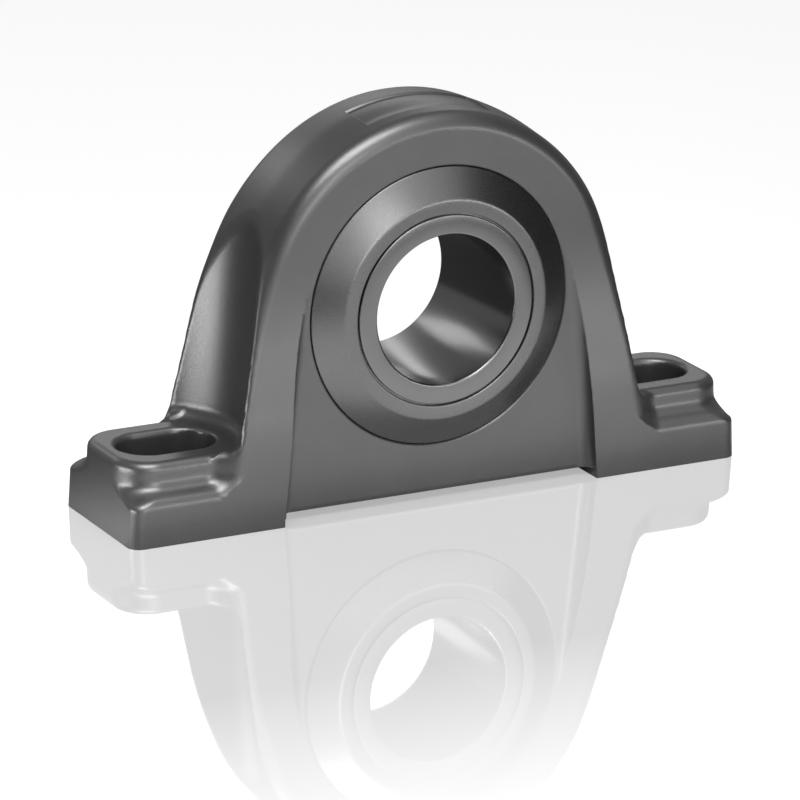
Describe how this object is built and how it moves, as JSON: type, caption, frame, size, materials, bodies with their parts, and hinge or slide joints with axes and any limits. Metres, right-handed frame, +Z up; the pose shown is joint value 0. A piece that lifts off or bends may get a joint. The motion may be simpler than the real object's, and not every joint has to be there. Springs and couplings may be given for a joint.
{
  "type": "self-aligning pillow block bearing",
  "caption": "Cast pillow block with an arched housing, slotted feet and a plain bushing held in a spherical ball that tilts to align with the shaft.",
  "frame": {"origin": "middle of the footprint, on the surface the feet stand on", "axes": "+X along the base, +Y along the shaft towards the back, where the ball's loading notches are, +Z up"},
  "size_m": [0.1696, 0.0394, 0.0992],
  "materials": {
    "casting": "satin charcoal cast surface",
    "ball": "fine turned, satin",
    "bushing": "fine turned faces, honed bore",
    "pin": "ground"
  },
  "bodies": {
    "housing": {"housing": "casting"},
    "pin": {"anti_rotation_pin": "pin"},
    "ball": {"alignment_ball": "ball", "bushing": "bushing"}
  },
  "joints": [
    {"name": "ball_pitch", "type": "hinge", "parent": "housing", "child": "pin", "pos_m": [0, 0, 0.0496], "axis": [1, 0, 0], "range_deg": [-5, 5]},
    {"name": "ball_yaw", "type": "hinge", "parent": "pin", "child": "ball", "pos_m": [0, 0, 0.0496], "axis": [0, 0, 1], "range_deg": [-5, 5]}
  ]
}
